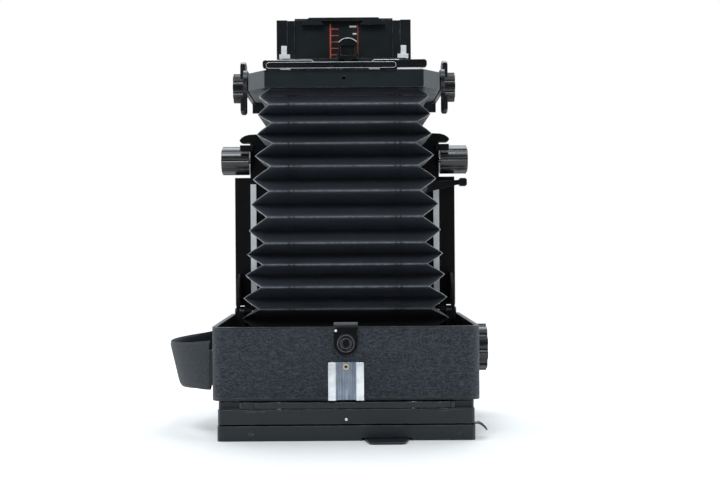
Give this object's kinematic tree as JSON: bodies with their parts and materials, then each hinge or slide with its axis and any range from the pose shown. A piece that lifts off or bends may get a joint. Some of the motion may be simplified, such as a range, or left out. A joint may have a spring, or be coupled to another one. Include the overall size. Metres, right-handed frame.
{
  "type": "folding view camera",
  "caption": "Folding large-format view camera standing on its back, box body with hand strap, square pleated bellows, open bed with rack focusing rail and tilting U-frame front standard.",
  "frame": {"origin": "on the optical axis, at the middle of the rear face that the camera stands on", "axes": "+Z along the optical axis towards the lens, -Y towards the top of the camera in use, +Y towards the bed, +X to the side with the body knob"},
  "size_m": [0.2024, 0.1723, 0.2748],
  "materials": {
    "black_alloy": "satin",
    "black_steel": "satin",
    "gloss_black": "gloss",
    "body_leather": "satin",
    "strap_leather": "satin",
    "bellows_leather": "satin",
    "chrome": "polished",
    "bright_steel": "satin",
    "brass": "satin",
    "ground_glass": "matte",
    "white_mark": "satin",
    "red_mark": "satin"
  },
  "bodies": {
    "camera_body": {"body_shell": "black_alloy", "leather_covering": "body_leather", "latch_plate": "black_steel", "index_dots": "white_mark", "accessory_shoe": "chrome", "shoe_screw": "brass", "catch_spring": "bright_steel", "strap_lugs": "black_steel", "hand_strap": "strap_leather", "side_knob_bush": "black_steel", "tripod_bush": "bright_steel", "bed_hinge_pins": "black_steel", "bellows_rear_frame": "black_alloy", "bellows": "bellows_leather"},
    "release_catch": {"release_button": "gloss_black", "latch_tongue": "bright_steel"},
    "side_knob": {"side_knob": "gloss_black"},
    "revolving_back": {"back_plate": "black_alloy", "revolving_ring": "black_alloy", "ring_retainer": "bright_steel", "back_guide_pins": "bright_steel", "back_index_dot": "white_mark"},
    "back_slider_top": {"back_slider_top": "black_steel"},
    "back_slider_bottom": {"back_slider_bottom": "black_steel"},
    "back_lever": {"back_lever": "black_steel"},
    "spring_back": {"ground_glass_frame": "black_alloy", "ground_glass": "ground_glass", "back_springs": "bright_steel", "back_screws": "bright_steel", "hood_hinge_pin": "bright_steel"},
    "hood_cover": {"hood_cover": "black_alloy"},
    "bed": {"bed_plate": "black_alloy", "bed_cover": "body_leather", "bed_ways": "bright_steel", "rail_guides": "black_steel", "bed_stays": "black_steel", "pinion_bushes": "brass", "lever_pivot_screw": "bright_steel"},
    "focus_lock_lever": {"focus_lock_lever": "black_steel"},
    "focus_drive": {"focus_shaft": "bright_steel", "focus_pinions": "brass", "focus_knobs": "black_alloy"},
    "focus_rail": {"rail_plate": "black_alloy", "rail_tracks": "black_steel", "focus_racks": "brass", "rail_front_lip": "black_steel", "scale_red": "red_mark", "scale_white": "white_mark"},
    "standard_base": {"standard_base": "black_alloy", "rail_clamps": "bright_steel"},
    "standard_lock_lever": {"standard_lock_lever": "black_steel"},
    "shift_plate": {"shift_plate": "black_steel"},
    "u_frame": {"u_frame": "black_steel"},
    "rise_clamps": {"rise_clamps": "black_steel"},
    "lens_frame": {"lens_frame": "black_alloy", "lens_trunnions": "bright_steel", "lens_retainer": "black_alloy"},
    "lens_lock_slider": {"lens_lock_slider": "black_steel"},
    "tilt_knob_left": {"tilt_knob_left": "gloss_black"},
    "tilt_knob_right": {"tilt_knob_right": "gloss_black"}
  },
  "joints": [
    {"name": "release_press", "type": "slide", "parent": "camera_body", "child": "release_catch", "axis": [0, 1, 0], "range_m": [0, 0.0015], "stiffness_N_per_m": 500, "springref_m": -0.002, "deforming": ["catch_spring"]},
    {"name": "side_knob_turn", "type": "hinge", "parent": "camera_body", "child": "side_knob", "pos_m": [0.08, 0, 0.049], "axis": [1, 0, 0], "range_deg": [-180, 90]},
    {"name": "back_revolve", "type": "hinge", "parent": "camera_body", "child": "revolving_back", "pos_m": [0, 0, 0.0247], "axis": [0, 0, 1], "continuous": true},
    {"name": "slider_top_slide", "type": "slide", "parent": "revolving_back", "child": "back_slider_top", "axis": [1, 0, 0], "range_m": [-0.0025, 0.0025]},
    {"name": "slider_bottom_slide", "type": "slide", "parent": "revolving_back", "child": "back_slider_bottom", "axis": [1, 0, 0], "range_m": [-0.0025, 0.0025]},
    {"name": "back_lever_turn", "type": "hinge", "parent": "revolving_back", "child": "back_lever", "pos_m": [0.068, -0.07, 0.0095], "axis": [0, 0, 1], "range_deg": [-12, 12]},
    {"name": "spring_back_lift", "type": "slide", "parent": "revolving_back", "child": "spring_back", "axis": [0, 0, -1], "range_m": [0, 0.008], "stiffness_N_per_m": 800, "springref_m": -0.01},
    {"name": "hood_open", "type": "hinge", "parent": "spring_back", "child": "hood_cover", "pos_m": [0, 0.0572, 0.002], "axis": [1, 0, 0], "range_deg": [0, 90]},
    {"name": "bed_drop", "type": "hinge", "parent": "camera_body", "child": "bed", "pos_m": [0, 0.066, 0.069], "axis": [-1, 0, 0], "range_deg": [0, 15], "deforming": ["bellows"]},
    {"name": "focus_lock_turn", "type": "hinge", "parent": "bed", "child": "focus_lock_lever", "pos_m": [0.054, 0.062, 0.1556], "axis": [0, 1, 0], "range_deg": [-3, 24]},
    {"name": "focus_travel", "type": "slide", "parent": "bed", "child": "focus_rail", "axis": [0, 0, 1], "range_m": [-0.055, 0.008], "deforming": ["bellows"]},
    {"name": "focus_knob_turn", "type": "hinge", "parent": "bed", "child": "focus_drive", "pos_m": [0, 0.0699, 0.1757], "axis": [-1, 0, 0], "range_deg": [-645, 95]},
    {"name": "standard_slide", "type": "slide", "parent": "focus_rail", "child": "standard_base", "axis": [0, 0, 1], "range_m": [-0.01, 0.01], "deforming": ["bellows"]},
    {"name": "standard_lock_turn", "type": "hinge", "parent": "standard_base", "child": "standard_lock_lever", "pos_m": [0.0028, 0.058, 0.2465], "axis": [0, 1, 0], "range_deg": [-30, 0]},
    {"name": "lens_shift", "type": "slide", "parent": "standard_base", "child": "shift_plate", "axis": [1, 0, 0], "range_m": [-0.01, 0.01], "deforming": ["bellows"]},
    {"name": "lens_swing", "type": "hinge", "parent": "shift_plate", "child": "u_frame", "pos_m": [0, 0.052, 0.2186], "axis": [0, 1, 0], "range_deg": [-10, 10], "deforming": ["bellows"]},
    {"name": "lens_rise", "type": "slide", "parent": "u_frame", "child": "rise_clamps", "axis": [0, -1, 0], "range_m": [0, 0.02], "deforming": ["bellows"]},
    {"name": "lens_tilt", "type": "hinge", "parent": "rise_clamps", "child": "lens_frame", "pos_m": [0, 0, 0.2186], "axis": [1, 0, 0], "range_deg": [-10, 10], "deforming": ["bellows"]},
    {"name": "board_lock_slide", "type": "slide", "parent": "lens_frame", "child": "lens_lock_slider", "axis": [1, 0, 0], "range_m": [0, 0.008]},
    {"name": "tilt_knob_left_turn", "type": "hinge", "parent": "rise_clamps", "child": "tilt_knob_left", "pos_m": [-0.07, 0, 0.2186], "axis": [1, 0, 0], "range_deg": [-120, 60]},
    {"name": "tilt_knob_right_turn", "type": "hinge", "parent": "rise_clamps", "child": "tilt_knob_right", "pos_m": [0.07, 0, 0.2186], "axis": [1, 0, 0], "range_deg": [-60, 120]}
  ],
  "couplings": [
    {"joint": "focus_knob_turn", "follows": "focus_travel", "rad_per_m": 204.08}
  ]
}
